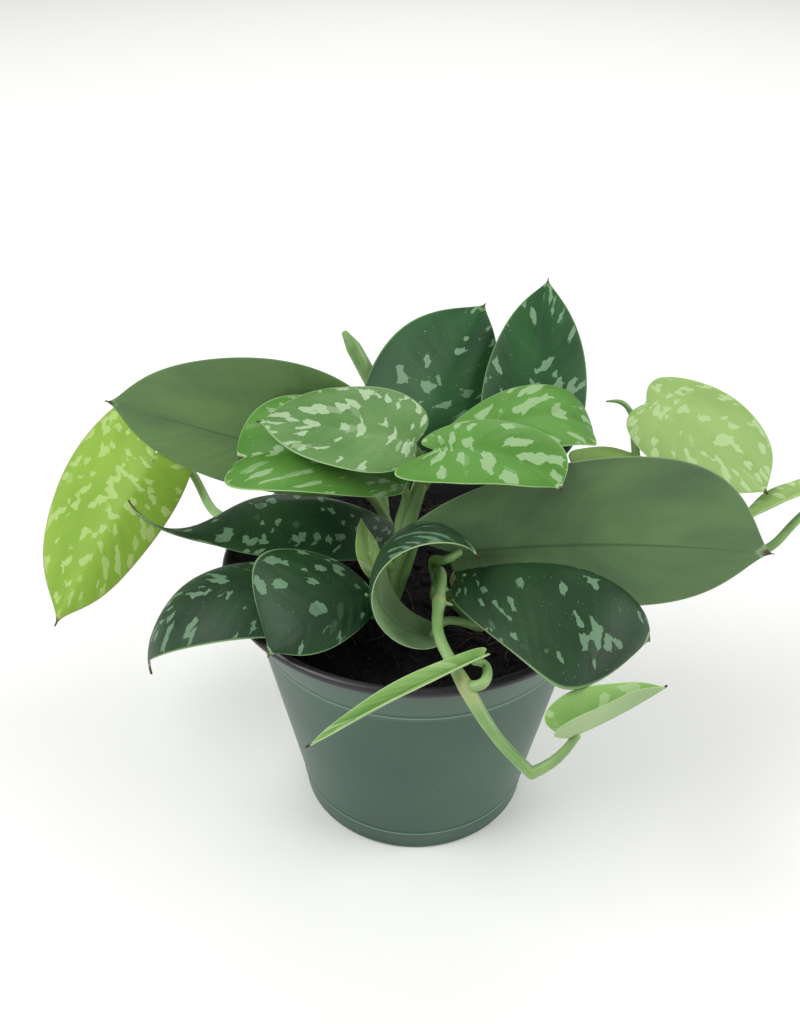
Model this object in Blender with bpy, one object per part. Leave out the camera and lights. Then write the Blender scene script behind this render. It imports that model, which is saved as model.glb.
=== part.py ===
"""Satin pothos in its nursery pot.

Every leaf blade, each of the four vines with its petioles, the soil and the pot are separate closed
solids. Z is up, the front is -Y, and the origin is the middle of the pot's flat base.
Sizes in this file are millimetres and degrees until a mesh is made, where MM turns them into metres.
"""
import bpy
import bmesh
import numpy as np
from dataclasses import dataclass
from math import cos, pi, radians, sin

MM = 0.001

# Driving dimensions of the pot, a 4.5 inch azalea pot
RIM_RADIUS = 57.0
POT_HEIGHT = 86.0
BASE_RADIUS = 35.5
WALL = 1.2
FLOOR = 2.0
LIP_HEIGHT = 2.8
LIP_DEPTH = 2.6
LIP_ROUND = 0.7
LOWER_RING_HEIGHT = 7.5
COLLAR_HEIGHT = 68.0
COLLAR_RADIUS = 48.0
SOIL_TOP = 76.0
ROUND_STEPS = 56

# Clearance between two pieces that touch, and the thickness of a leaf blade
GAP = 0.35
BLADE = 0.8

# Shape of every half blade: fullness of the margin, how soon a lobe fades, how sharply the pointed
# tip starts, and how far the columns crowd towards the midrib near the base
FULLNESS = 0.85
LOBE_FADE = 1.5
TIP_SHARPNESS = 14
CROWDING = 1.4

# Fineness of the faceted solids
RIB_STEPS = 60
BLADE_ROWS = 12
BLADE_COLUMNS = 3
TUBE_SIDES = 8
TUBE_SPACING = 3.5


@dataclass
class Leaf:
    """A blade, given the way a leaf is measured.

    base is the sinus, where the petiole joins. heading is the compass direction of the midrib there, 0
    along +X and 90 along +Y; pitch is its rise above the horizon; roll tips the upper face to the
    leaf's own right. half holds the widths left and right of the midrib. bend, swing and twist are the
    turns that the midrib makes from base to tip: up towards the upper face, sideways to the left, and
    round itself. late above 1 keeps bend and twist for the end. fold lifts each half at the midrib,
    curl rolls it towards its margin, lobe lengthens it behind the sinus, lean moves its widest place
    towards the base, and blunt rounds it near the tip. drip is the length of the pointed tip, or with
    a minus sign the depth of a notch there.
    """
    name: str
    base: tuple
    heading: float
    pitch: float
    roll: float
    length: float
    half: tuple
    bend: float = 0
    late: float = 1
    swing: float = 0
    twist: float = 0
    fold: tuple = (0, 0)
    curl: tuple = (-15, -15)
    lobe: tuple = (0.6, 0.6)
    lean: tuple = (0.15, 0.15)
    blunt: tuple = (3, 3)
    drip: float = 0.06
    rows: int = BLADE_ROWS
    tint: str = "dark"


LEAVES = [
    Leaf("leaf_top_left", (-1, -7, 129), 170, 10, -16, 45, (14, 18), bend=-20, fold=(5, 5),
         lobe=(0.2, 0.3), blunt=(2, 2), tint="light"),
    Leaf("leaf_second_left", (-3, -7, 115), 176, 22, -20, 50, (15, 20), bend=-60, late=2, fold=(15, 15),
         lobe=(0, 0.1), lean=(-0.3, -0.3), blunt=(6, 6), drip=-0.09, tint="light"),
    Leaf("leaf_top_right", (4, -14, 131), 8, 5, 14, 36, (13, 12), bend=-18, late=2, swing=-60,
         fold=(5, 5), lobe=(0.6, 1.7), lean=(-0.4, 0.1), tint="light"),
    Leaf("leaf_second_right", (10, 4, 123), 20, 15, 12, 48, (13.5, 13), bend=-95, late=3, swing=-20,
         fold=(8, 8), lean=(-0.5, -0.2), blunt=(6, 5), tint="light"),
    Leaf("leaf_back_tall_left", (0, 16, 109), 66, 52, 0, 53, (25, 15), bend=-20, swing=-10,
         fold=(0, -25), curl=(-10, -25), lean=(0, 0)),
    Leaf("leaf_back_tall_right", (31, 14, 113), 78, 52, 5, 55, (15, 16), bend=-15, fold=(5, -5),
         lobe=(0.3, 0.3), blunt=(1.8, 1.8)),
    Leaf("leaf_back_left", (-22, 19, 105), 171, 12, 88, 74, (33, 16), lean=(0.35, -0.1)),
    Leaf("leaf_far_left", (-80, 28, 103.5), 225, -41, -5, 61, (14, 34), bend=-10, fold=(-35, 0),
         lobe=(0.9, 1.2), drip=0.09, tint="lime"),
    Leaf("leaf_left_curled", (-7, -2, 92), 182, 1, -8, 79, (6, 27), bend=65, late=5, twist=100,
         lobe=(0.2, 0.2), lean=(0.2, -0.4), blunt=(3, 5), drip=0.33),
    Leaf("leaf_lower_left", (-24.5, -22.5, 90), 184, 22, -6, 71, (17, 13), bend=-120, late=1.4, swing=12,
         fold=(-5, -5), curl=(-20, -20), drip=0.12),
    Leaf("leaf_front_left", (-12.2, -30.5, 96.4), 222, 18, -25, 35, (9, 26), bend=-75, late=1.2, swing=8,
         fold=(-5, -5), lobe=(0, 0.1), lean=(-0.1, -0.3), blunt=(3, 4), drip=0.12),
    Leaf("leaf_big_right", (8.6, -19, 101.7), 0, 8, -100, 87, (18, 25.5), swing=14, fold=(0, 8),
         lobe=(0.1, 0.7), lean=(-0.1, -0.35)),
    Leaf("leaf_right_dark", (9.8, -29, 101), -8, 21, 12, 61, (11, 31), bend=-105, late=2.6, swing=-34,
         fold=(-10, 0), curl=(-110, -12), lobe=(0.2, 0.2), lean=(0.2, -0.4), blunt=(4, 6)),
    Leaf("leaf_right_light", (69, 35, 118.5), -25, -16, 15, 45, (25, 18), bend=-15, swing=-15,
         lobe=(0.35, 0.45), lean=(-0.1, 0.15), tint="light"),
    Leaf("leaf_behind_lime", (45, 16, 109), 0, 5, 0, 28, (11, 11), bend=-20, lobe=(0.2, 0.2),
         tint="lime"),
    Leaf("leaf_far_right", (118, 19, 99), 205, -12, 20, 25, (6, 6), fold=(30, 30), tint="light"),
    Leaf("leaf_front_narrow", (15, -57, 98.5), 205, -8, -5, 48, (3.6, 3.2), bend=-8, swing=4, fold=(42, 38),
         curl=(10, 10), lobe=(0.3, 0.3), tint="light"),
    Leaf("leaf_front_small", (35, -73.5, 87.8), 20, 12, 0, 27, (9.5, 8), bend=14, fold=(40, 85),
         lobe=(0.8, 0.8), lean=(0.4, 0.15), tint="light"),
    Leaf("leaf_rolled", (6, -39, 89), 180, -15, 200, 66, (15, 15), bend=-255, lobe=(0.1, 0.1), rows=20),
    Leaf("leaf_young", (-11, -18.5, 92), 129, 49, 0, 19, (4.5, 3.5), bend=-20, swing=-30, fold=(20, 20),
         lobe=(0, 0), lean=(0.3, 0.3), blunt=(1.5, 1.5), tint="light"),
]

# Stems and petioles of each vine: points by hand along the route, and the radius at those points.
# A route that ends in a leaf's name runs on to the seat under that leaf's base.
VINES = {
    "vine_main": [
        ([(-7, -15, SOIL_TOP + GAP), (-7, -13, 92), (-5, -10, 98), (-2, -6, 107), (1, -2, 114)],
         (2.6, 2.4, 2.9, 2.4, 1.8), None),
        ([(1, -2, 113)], (1.8, 1.1), "leaf_top_left"),
        ([(1, -2, 112), (3, -4, 119)], (1.8, 1.1), "leaf_top_right"),
        ([(1, -2, 113), (6, 1, 116)], (1.7, 1.1), "leaf_second_right"),
        ([(-5, -10, 98), (-5, -8, 105)], (1.8, 1.1), "leaf_second_left"),
        ([(-5, -10, 97), (-3, 2, 98), (-1, 10, 102)], (1.8, 1.2), "leaf_back_tall_left"),
        ([(-7, -14, 82), (-3, -8, 90), (0, -3, 96), (3, -1, 101)], (2.2, 1.7, 1.4, 0.7), None),
        ([(-7, -14, 87)], (1.4, 0.9), "leaf_young"),
        ([(-7, -14, 91), (-8, -15, 95), (-9, -14, 101)], (1.3, 0.9, 0.3), None),
        ([(-7, -15, 79), (-8, -20, 85)], (1.8, 1.2), "leaf_front_left"),
        ([(-7, -15, 78), (-15, -19, 80)], (1.8, 1.2), "leaf_lower_left"),
    ],
    "vine_left": [
        ([(-8, 4, SOIL_TOP + GAP), (-8, 4, 79), (-12, 9, 82), (-35, 11, 84), (-52, 13, 88.2),
          (-60, 18, 87.5), (-66, 27, 88), (-72, 34, 95)], (2.2, 1.1), "leaf_far_left"),
        ([(-8, 4, 79), (-8, 15, 84), (-13, 19, 93)], (1.8, 1.1), "leaf_back_left"),
        ([(-8, 4, 79), (-3, 2, 84)], (1.8, 1.2), "leaf_left_curled"),
        ([(-10, 7, 81), (-10, 20, 88), (-12, 34, 100), (-12, 42, 114), (-16, 46, 123), (-20, 49, 129.5),
          (-22.5, 51, 133)],
         (1.6, 1.6, 1.8, 2.2, 2.5, 2.4, 1.1), None),
    ],
    "vine_right": [
        ([(12, -1, SOIL_TOP + GAP), (12, -1, 79), (18, 3, 82), (33, 9, 84), (50, 14, 88.5), (61, 15, 90),
          (86, 13, 84), (106, 10, 83), (114, 14, 90)], (2.2, 1.2), "leaf_far_right"),
        ([(18, 3, 82), (27, 10, 95)], (1.9, 1.2), "leaf_back_tall_right"),
        ([(33, 9, 84), (40, 11, 96)], (1.6, 1.1), "leaf_behind_lime"),
        ([(61, 15, 90), (66, 26, 105)], (1.6, 1.1), "leaf_right_light"),
        ([(65, 24, 103), (66, 33, 112), (62, 36, 118), (57, 35, 119)], (1.1, 1.0, 0.8, 0.3), None),
    ],
    "vine_front": [
        ([(5.5, -7, SOIL_TOP + GAP), (5.5, -8, 81), (5.5, -11, 88), (5.5, -17, 94), (6, -26, 99),
          (5.3, -35.5, 100.3), (5, -38, 100), (4.7, -40.5, 99.3), (4.5, -46, 97.6), (8, -56, 95),
          (11, -62, 93), (18, -70, 85), (27, -75, 77)],
         (2.0, 1.6, 1.4, 1.4, 1.4, 1.4, 1.9, 1.5, 1.4, 1.5, 2.0, 1.5, 1.5), None),
        ([(5, -38, 100), (8.3, -38.6, 99.4)], (1.0, 0.3), None),
        ([(5.4, -9.6, 84.5), (4.2, -14, 95)], (1.5, 1.1), "leaf_big_right"),
        ([(11, -62, 93), (15, -63, 95)], (1.5, 1.0), "leaf_front_narrow"),
        ([(27, -75, 77), (31, -74, 79)], (1.5, 1.0), "leaf_front_small"),
        ([(5.5, -9, 84), (12, -22, 84), (16, -34, 88)], (1.5, 1.1), "leaf_rolled"),
        ([(5.5, -9, 82), (5, -18, 85)], (1.5, 1.2), "leaf_right_dark"),
    ],
}

# How far under the blade's plane a petiole comes in, its straight last stretch, and how far its end
# lies ahead of the sinus
SEAT_ANGLE = 45
SEAT_RUN = 3.0
SEAT_AHEAD = 1.5

COLOURS = {
    "dark": (0.035, 0.105, 0.045, 1),
    "light": (0.21, 0.41, 0.13, 1),
    "lime": (0.30, 0.50, 0.06, 1),
    "stem": (0.36, 0.50, 0.19, 1),
    "pot": (0.045, 0.135, 0.075, 1),
    "soil": (0.018, 0.013, 0.010, 1),
}


def clear_scene():
    for obj in list(bpy.data.objects):
        bpy.data.objects.remove(obj, do_unlink=True)


def material(name, roughness):
    found = bpy.data.materials.get(name)
    if found:
        return found
    made = bpy.data.materials.new(name)
    made.use_nodes = True
    shader = made.node_tree.nodes["Principled BSDF"]
    shader.inputs["Base Color"].default_value = COLOURS[name]
    shader.inputs["Roughness"].default_value = roughness
    shader.inputs["Metallic"].default_value = 0
    return made


def unit(v):
    return v / np.linalg.norm(v, axis=-1, keepdims=True)


def turned(v, axis, angle):
    """v turned about a unit axis"""
    return v * cos(angle) + np.cross(axis, v) * sin(angle) + axis * (axis @ v) * (1 - cos(angle))


def rib(leaf):
    """places, tangents and upper normals along the midrib"""
    h, p, r = radians(leaf.heading), radians(leaf.pitch), radians(leaf.roll)
    along = np.array([cos(p) * cos(h), cos(p) * sin(h), sin(p)])
    upright = np.array([-sin(p) * cos(h), -sin(p) * sin(h), cos(p)])
    normal = turned(upright, along, r)
    place = np.array(leaf.base, float)
    places, tangents, normals = [place], [along], [normal]
    step = leaf.length / RIB_STEPS
    for share in np.diff(np.linspace(0, 1, RIB_STEPS + 1) ** leaf.late):
        side = np.cross(along, normal)
        ahead = turned(along, side, radians(leaf.bend) * share)
        normal = turned(normal, side, radians(leaf.bend) * share)
        ahead = turned(ahead, normal, radians(leaf.swing) / RIB_STEPS)
        normal = turned(normal, ahead, radians(leaf.twist) * share)
        place = place + (along + ahead) / 2 * step
        along = unit(ahead)
        normal = unit(normal - along * (along @ normal))
        places.append(place)
        tangents.append(along)
        normals.append(normal)
    return np.array(places), np.array(tangents), np.array(normals)


def outline(phi, lobe, lean, blunt, drip):
    """half of a heart-shaped margin: along the midrib and across it, from sinus (0) to tip (pi)"""
    x = (1 - np.cos(phi)) / 2 * (1 - drip) + drip * (phi / pi) ** TIP_SHARPNESS
    x = x - lobe * np.sin(phi) * np.exp(-LOBE_FADE * phi)
    y = np.abs(np.sin(phi)) ** FULLNESS * (1 + lean * np.cos(phi))
    return x, y * (1 - np.exp(-blunt * (pi - phi)))


def blade_grid(leaf):
    """middle surface of a blade: rows from sinus to tip, columns from left margin to right margin"""
    places, tangents, normals = rib(leaf)
    steps = np.linspace(0, 1, RIB_STEPS + 1)
    phi = np.linspace(0, pi, leaf.rows + 1)
    fine = np.linspace(0, pi, 400)
    out = np.linspace(0, 1, BLADE_COLUMNS + 1)
    halves = []
    for k, side in enumerate((-1, 1)):
        shape = (leaf.lobe[k], leaf.lean[k], leaf.blunt[k], leaf.drip)
        x, y = outline(phi, *shape)
        y = y / outline(fine, *shape)[1].max()
        middle = (phi / pi) ** 2
        x = middle[:, None] + (x - middle)[:, None] * out ** CROWDING
        y = y[:, None] * out
        inside = np.clip(x, 0, 1)

        def at(rows):
            return np.stack([np.interp(inside, steps, rows[:, j]) for j in range(3)], -1)

        along, up = unit(at(tangents)), unit(at(normals))
        spine = at(places) + along * ((x - inside) * leaf.length)[..., None]
        fold, curl = radians(leaf.fold[k]), radians(leaf.curl[k])
        across = leaf.half[k] * (np.sin(fold + curl * y) - sin(fold)) / curl
        lift = leaf.half[k] * (cos(fold) - np.cos(fold + curl * y)) / curl
        right = np.cross(along, up)
        halves.append(spine + right * (side * across)[..., None] + up * lift[..., None])
    grid = np.concatenate([halves[0][:, ::-1], halves[1][:, 1:]], 1)
    return grid, normals[0], normals[-1]


def grid_normals(grid, first, last):
    """upper normals of the grid; the two ends, where a row is one point, take the midrib's"""
    normals = np.empty_like(grid)
    down_rows = np.gradient(grid, axis=0)
    across = np.gradient(grid, axis=1)
    normals[1:-1] = unit(np.cross(across[1:-1], down_rows[1:-1]))
    normals[0] = first
    normals[-1] = last
    return normals


def new_object(name, mesh, tint, roughness):
    obj = bpy.data.objects.new(name, mesh)
    bpy.context.scene.collection.objects.link(obj)
    mesh.materials.append(material(tint, roughness))
    return obj


def blade(leaf):
    """closed blade of even thickness, split alike on its two faces"""
    grid, first, last = blade_grid(leaf)
    offset = grid_normals(grid, first, last) * (BLADE / 2)
    rows, columns = grid.shape[:2]
    bm = bmesh.new()
    sheets = []
    for points in (grid + offset, grid - offset):
        base = bm.verts.new(points[0, 0] * MM)
        tip = bm.verts.new(points[-1, 0] * MM)
        body = [[bm.verts.new(points[i, j] * MM) for j in range(columns)] for i in range(1, rows - 1)]
        sheets.append([[base] * columns] + body + [[tip] * columns])
    for i in range(rows - 1):
        for j in range(columns - 1):
            for sheet in sheets:
                a, b = sheet[i][j], sheet[i][j + 1]
                c, d = sheet[i + 1][j], sheet[i + 1][j + 1]
                for corners in ((a, b, d), (a, d, c)):
                    if len(set(corners)) == 3:
                        bm.faces.new(corners)
    top, under = sheets
    for j in (0, columns - 1):
        for i in range(rows - 1):
            a, b, c, d = top[i][j], top[i + 1][j], under[i + 1][j], under[i][j]
            bm.faces.new((a, b, c))
            bm.faces.new((a, c, d))
    bmesh.ops.recalc_face_normals(bm, faces=bm.faces)
    mesh = bpy.data.meshes.new(leaf.name)
    bm.to_mesh(mesh)
    bm.free()
    mesh.shade_smooth()
    return new_object(leaf.name, mesh, leaf.tint, 0.45)


def smooth_route(points, radii):
    """natural cubic through the points, sampled every TUBE_SPACING, with the radius at each sample"""
    points = np.array(points, float)
    at = np.r_[0, np.cumsum(np.linalg.norm(np.diff(points, axis=0), axis=1))]
    count = len(points)
    gap = np.diff(at)
    system = np.eye(count)
    load = np.zeros((count, 3))
    for i in range(1, count - 1):
        system[i, i - 1:i + 2] = gap[i - 1], 2 * (gap[i - 1] + gap[i]), gap[i]
        load[i] = 6 * ((points[i + 1] - points[i]) / gap[i] - (points[i] - points[i - 1]) / gap[i - 1])
    pull = np.linalg.solve(system, load)
    where = np.linspace(0, at[-1], max(3, round(at[-1] / TUBE_SPACING) + 1))
    i = np.clip(np.searchsorted(at, where, side="right") - 1, 0, count - 2)
    before = (at[i + 1] - where)[:, None]
    after = (where - at[i])[:, None]
    width = gap[i][:, None]
    route = (pull[i] * before ** 3 + pull[i + 1] * after ** 3) / (6 * width)
    route = route + (points[i] / width - pull[i] * width / 6) * before
    route = route + (points[i + 1] / width - pull[i + 1] * width / 6) * after
    return route, np.interp(where, at if len(radii) == count else at[[0, -1]], radii)


def tube(name, points, radii):
    """closed round tube along a smooth route"""
    route, radius = smooth_route(points, radii)
    along = unit(np.gradient(route, axis=0))
    side = unit(np.cross(along[0], (0.3, 0.5, 0.8)))
    bm = bmesh.new()
    rings = []
    for place, forward, size in zip(route, along, radius):
        side = unit(side - forward * (side @ forward))
        other = np.cross(forward, side)
        ring = []
        for k in range(TUBE_SIDES):
            angle = 2 * pi * k / TUBE_SIDES
            ring.append(bm.verts.new((place + size * (side * cos(angle) + other * sin(angle))) * MM))
        rings.append(ring)
    for low, high in zip(rings, rings[1:]):
        for k in range(TUBE_SIDES):
            n = (k + 1) % TUBE_SIDES
            bm.faces.new((low[k], low[n], high[n], high[k]))
    bm.faces.new(rings[0][::-1])
    bm.faces.new(rings[-1])
    bmesh.ops.recalc_face_normals(bm, faces=bm.faces)
    mesh = bpy.data.meshes.new(name)
    bm.to_mesh(mesh)
    bm.free()
    mesh.shade_smooth()
    return new_object(name, mesh, "stem", 0.4)


def seat(leaf, radius):
    """the last two points of a petiole, which stops GAP short of the blade's underside"""
    places, tangents, normals = rib(leaf)
    along, up = tangents[0], normals[0]
    rise = radians(SEAT_ANGLE)
    inward = along * cos(rise) + up * sin(rise)
    clear = BLADE / 2 + GAP + radius * cos(rise)
    end = places[0] + along * SEAT_AHEAD - up * clear
    return [end - inward * SEAT_RUN, end]


def vine(name, routes):
    """one solid from a vine's stem and petioles, each of which starts inside the stem"""
    by_name = {leaf.name: leaf for leaf in LEAVES}
    branches = bpy.data.collections.new(name + "_branches")
    bpy.context.scene.collection.children.link(branches)
    stem = None
    for number, (points, radii, end) in enumerate(routes):
        if end:
            points = points + seat(by_name[end], radii[-1])
        piece = tube(name if stem is None else f"{name}_branch_{number}", points, radii)
        if stem is None:
            stem = piece
            continue
        bpy.context.scene.collection.objects.unlink(piece)
        branches.objects.link(piece)
        piece.hide_render = True
        piece.display_type = "WIRE"
    union = stem.modifiers.new("Branches", "BOOLEAN")
    union.operation = "UNION"
    union.operand_type = "COLLECTION"
    union.collection = branches
    return stem


def turned_solid(name, profile, tint, roughness):
    """closed solid turned about Z from (radius, height) points that start and end on the axis"""
    bm = bmesh.new()
    axis_points = [bm.verts.new((0, 0, profile[i][1] * MM)) for i in (0, -1)]
    rings = []
    for radius, height in profile[1:-1]:
        ring = []
        for k in range(ROUND_STEPS):
            angle = 2 * pi * k / ROUND_STEPS
            ring.append(bm.verts.new((radius * cos(angle) * MM, radius * sin(angle) * MM, height * MM)))
        rings.append(ring)
    for low, high in zip(rings, rings[1:]):
        for k in range(ROUND_STEPS):
            n = (k + 1) % ROUND_STEPS
            bm.faces.new((low[k], low[n], high[n], high[k]))
    for centre, ring in zip(axis_points, (rings[0], rings[-1])):
        for k in range(ROUND_STEPS):
            bm.faces.new((centre, ring[k], ring[(k + 1) % ROUND_STEPS]))
    bmesh.ops.recalc_face_normals(bm, faces=bm.faces)
    mesh = bpy.data.meshes.new(name)
    bm.to_mesh(mesh)
    bm.free()
    mesh.shade_smooth()
    mesh.set_sharp_from_angle(angle=radians(35))
    return new_object(name, mesh, tint, roughness)


def wall_radius(height):
    """outer radius of the pot's side below the lip"""
    stations = (0, LOWER_RING_HEIGHT, COLLAR_HEIGHT, POT_HEIGHT - LIP_HEIGHT)
    radii = (BASE_RADIUS, BASE_RADIUS + 0.8, COLLAR_RADIUS, RIM_RADIUS - LIP_DEPTH)
    return float(np.interp(height, stations, radii))


def pot():
    """thin moulded wall with a flared collar and a rolled lip"""
    lip = POT_HEIGHT - LIP_HEIGHT
    profile = [(0, 0)]
    for height in (0, LOWER_RING_HEIGHT, COLLAR_HEIGHT, lip):
        profile.append((wall_radius(height), height))
    profile += [(RIM_RADIUS - LIP_ROUND, lip), (RIM_RADIUS, lip + LIP_ROUND),
                (RIM_RADIUS, POT_HEIGHT - LIP_ROUND), (RIM_RADIUS - LIP_ROUND, POT_HEIGHT),
                (RIM_RADIUS - LIP_DEPTH, POT_HEIGHT)]
    for height in (lip, COLLAR_HEIGHT, FLOOR):
        profile.append((wall_radius(height) - WALL, height))
    profile.append((0, FLOOR))
    return turned_solid("pot", profile, "pot", 0.4)


def soil():
    """plug of potting soil that fills the pot to SOIL_TOP"""
    clear = WALL + GAP
    profile = [(0, FLOOR + GAP)]
    for height in (FLOOR + GAP, COLLAR_HEIGHT, SOIL_TOP):
        profile.append((wall_radius(height) - clear, height))
    profile.append((0, SOIL_TOP))
    return turned_solid("soil", profile, "soil", 0.95)


clear_scene()
pot()
soil()
for vine_name, vine_routes in VINES.items():
    vine(vine_name, vine_routes)
for each in LEAVES:
    blade(each)
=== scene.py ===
"""Satin pothos in a green nursery pot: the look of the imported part, and a plain studio round it."""

from dataclasses import dataclass
from math import cos, pi, radians, sin

import bmesh
import bpy
import numpy as np
from mathutils import Matrix


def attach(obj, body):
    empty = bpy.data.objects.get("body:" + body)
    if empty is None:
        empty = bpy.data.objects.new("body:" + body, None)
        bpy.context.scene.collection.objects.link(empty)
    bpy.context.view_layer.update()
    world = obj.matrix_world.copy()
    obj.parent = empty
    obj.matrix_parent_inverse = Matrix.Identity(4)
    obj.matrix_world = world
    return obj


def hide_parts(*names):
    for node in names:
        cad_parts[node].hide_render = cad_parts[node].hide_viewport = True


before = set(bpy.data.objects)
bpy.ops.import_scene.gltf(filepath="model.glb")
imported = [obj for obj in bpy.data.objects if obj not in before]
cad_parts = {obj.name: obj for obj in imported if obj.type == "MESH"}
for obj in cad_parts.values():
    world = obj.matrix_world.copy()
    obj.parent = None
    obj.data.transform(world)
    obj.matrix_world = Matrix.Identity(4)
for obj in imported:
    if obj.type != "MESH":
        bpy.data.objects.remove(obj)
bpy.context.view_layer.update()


# The pot is a thin-walled azalea pot, blow moulded in two layers of polypropylene: muted green
# outside, black inside, where the black is folded over as a rolled lip. The mould leaves fine raised
# ring lines, and the plastic has a soft sheen with specks of spilt soil on it.
MM = 0.001
RIM_RADIUS = 57.0
POT_HEIGHT = 86.0
LIP_HEIGHT = 2.8
WALL = 1.2
FLOOR = 2.0
RING_LINES = (7.5, 68.0)
RING_LINE_HEIGHT = 0.55
RING_LINE_PROUD = 0.22
# Half height and strength of the painted highlight, a paler band of colour along each ring line
HIGHLIGHT_HALF_HEIGHT = 0.3
HIGHLIGHT_SHARE = 0.55
POT_STEPS = 240
# Radius of the outside at the base, at both ring lines and under the lip
WALL_RADII = (35.5, 36.3, 48.0, 54.4)


def linear(code):
    """sRGB hex to linear RGBA"""
    srgb = np.array([int(code[i:i + 2], 16) for i in (1, 3, 5)]) / 255
    low = srgb / 12.92
    high = ((srgb + 0.055) / 1.055) ** 2.4
    return (*np.where(srgb <= 0.04045, low, high), 1.0)


SOFT = {"interpolation_type": "SMOOTHSTEP"}
BLEND = {"data_type": "RGBA"}
TIMES = {"operation": "MULTIPLY"}


def add(tree, kind, settings=None, gives=0, stops=(), **links):
    """Adds a shader node, and gives one of its output sockets. Its properties are set, each input is
    set to a value or linked to a socket, by its name or as i and its number, and a colour ramp gets
    its (position, colour) stops."""
    made = tree.nodes.new(kind)
    for key, value in (settings or {}).items():
        setattr(made, key, value)
    for key, value in links.items():
        socket = made.inputs[int(key[1:]) if key[1:].isdigit() else key.replace("_", " ")]
        if isinstance(value, bpy.types.NodeSocket):
            tree.links.new(value, socket)
        else:
            socket.default_value = value
    for position, colour in stops:
        made.color_ramp.elements.new(position).color = colour
    if stops:
        made.color_ramp.elements.remove(made.color_ramp.elements[0])
        made.color_ramp.elements.remove(made.color_ramp.elements[-1])
    return made.outputs[gives]


def fresh_material(name):
    """an empty material, its tree, and its shader"""
    made = bpy.data.materials.new(name)
    made.use_nodes = True
    return made, made.node_tree, made.node_tree.nodes["Principled BSDF"]


def sheet_faces(rows, columns, start=0, wrap=False):
    """quads of a grid of points laid out row by row; wrap joins its last column to its first"""
    i, j = np.meshgrid(np.arange(rows - 1), np.arange(columns if wrap else columns - 1), indexing="ij")
    k = (j + 1) % columns
    quads = np.stack([i * columns + j, i * columns + k, (i + 1) * columns + k, (i + 1) * columns + j], -1)
    return quads.reshape(-1, 4) + start


def solid(name, points, faces, materials, which=None, follow=None):
    """smooth object from points in millimetres, with doubled points merged; which picks each face's
    material, and follow is a vector kept at each point for a pattern that follows the surface"""
    mesh = bpy.data.meshes.new(name)
    mesh.from_pydata((points * MM).tolist(), [], faces.tolist())
    if which is not None:
        mesh.polygons.foreach_set("material_index", which.astype(np.int32))
    if follow is not None:
        kept = mesh.attributes.new("grain", "FLOAT_VECTOR", "POINT")
        kept.data.foreach_set("vector", follow.astype(np.float32).ravel())
    for each in materials:
        mesh.materials.append(each)
    bm = bmesh.new()
    bm.from_mesh(mesh)
    bmesh.ops.remove_doubles(bm, verts=bm.verts, dist=0.000002)
    bmesh.ops.dissolve_degenerate(bm, edges=bm.edges, dist=0.000001)
    bmesh.ops.recalc_face_normals(bm, faces=bm.faces)
    bm.to_mesh(mesh)
    bm.free()
    mesh.shade_smooth()
    obj = bpy.data.objects.new(name, mesh)
    bpy.context.scene.collection.objects.link(obj)
    return obj


def pot_green():
    """polypropylene, moulded: soft sheen, a painted highlight as a paler band of colour along each ring
    line, with specks of soil
    """
    made, tree, shader = fresh_material("moulded green polypropylene")
    place = add(tree, "ShaderNodeTexCoord", gives="Object")
    cloud = add(tree, "ShaderNodeTexNoise", Vector=place, Scale=28.0, Detail=3.0)
    green = add(tree, "ShaderNodeValToRGB", Fac=cloud,
                stops=[(0.35, linear("#234736")), (0.7, linear("#2b533d"))])
    height = add(tree, "ShaderNodeSeparateXYZ", gives="Z", Vector=place)
    # Painted highlight: each ring line is coloured paler, as if lit along its step
    for line in RING_LINES:
        near = add(tree, "ShaderNodeMath", {"operation": "COMPARE"}, i0=height, i1=line * MM,
                   i2=HIGHLIGHT_HALF_HEIGHT * MM)
        painted_highlight = add(tree, "ShaderNodeMath", TIMES, i0=near, i1=HIGHLIGHT_SHARE)
        green = add(tree, "ShaderNodeMix", BLEND, 2, i0=painted_highlight, i6=green, i7=linear("#86a794"))
    grit = add(tree, "ShaderNodeTexNoise", Vector=place, Scale=900.0, Detail=2.0)
    patch = add(tree, "ShaderNodeTexNoise", Vector=place, Scale=60.0)
    fine = add(tree, "ShaderNodeMapRange", SOFT, Value=grit, From_Min=0.7, From_Max=0.73)
    some = add(tree, "ShaderNodeMapRange", SOFT, Value=patch, From_Min=0.5, From_Max=0.65)
    speck = add(tree, "ShaderNodeMath", TIMES, i0=fine, i1=some)
    colour = add(tree, "ShaderNodeMix", BLEND, 2, i0=speck, i6=green, i7=linear("#18231c"))
    tree.links.new(colour, shader.inputs["Base Color"])
    shader.inputs["Roughness"].default_value = 0.36
    shader.inputs["IOR"].default_value = 1.49
    grain = add(tree, "ShaderNodeBump", Height=grit, Strength=0.06, Distance=0.0003)
    tree.links.new(grain, shader.inputs["Normal"])
    return made


def pot_black():
    """black polypropylene of the inner layer and the lip: smooth enough for a clear highlight"""
    made, _, shader = fresh_material("moulded black polypropylene")
    shader.inputs["Base Color"].default_value = linear("#28272c")
    shader.inputs["Roughness"].default_value = 0.34
    shader.inputs["IOR"].default_value = 1.49
    return made


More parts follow.
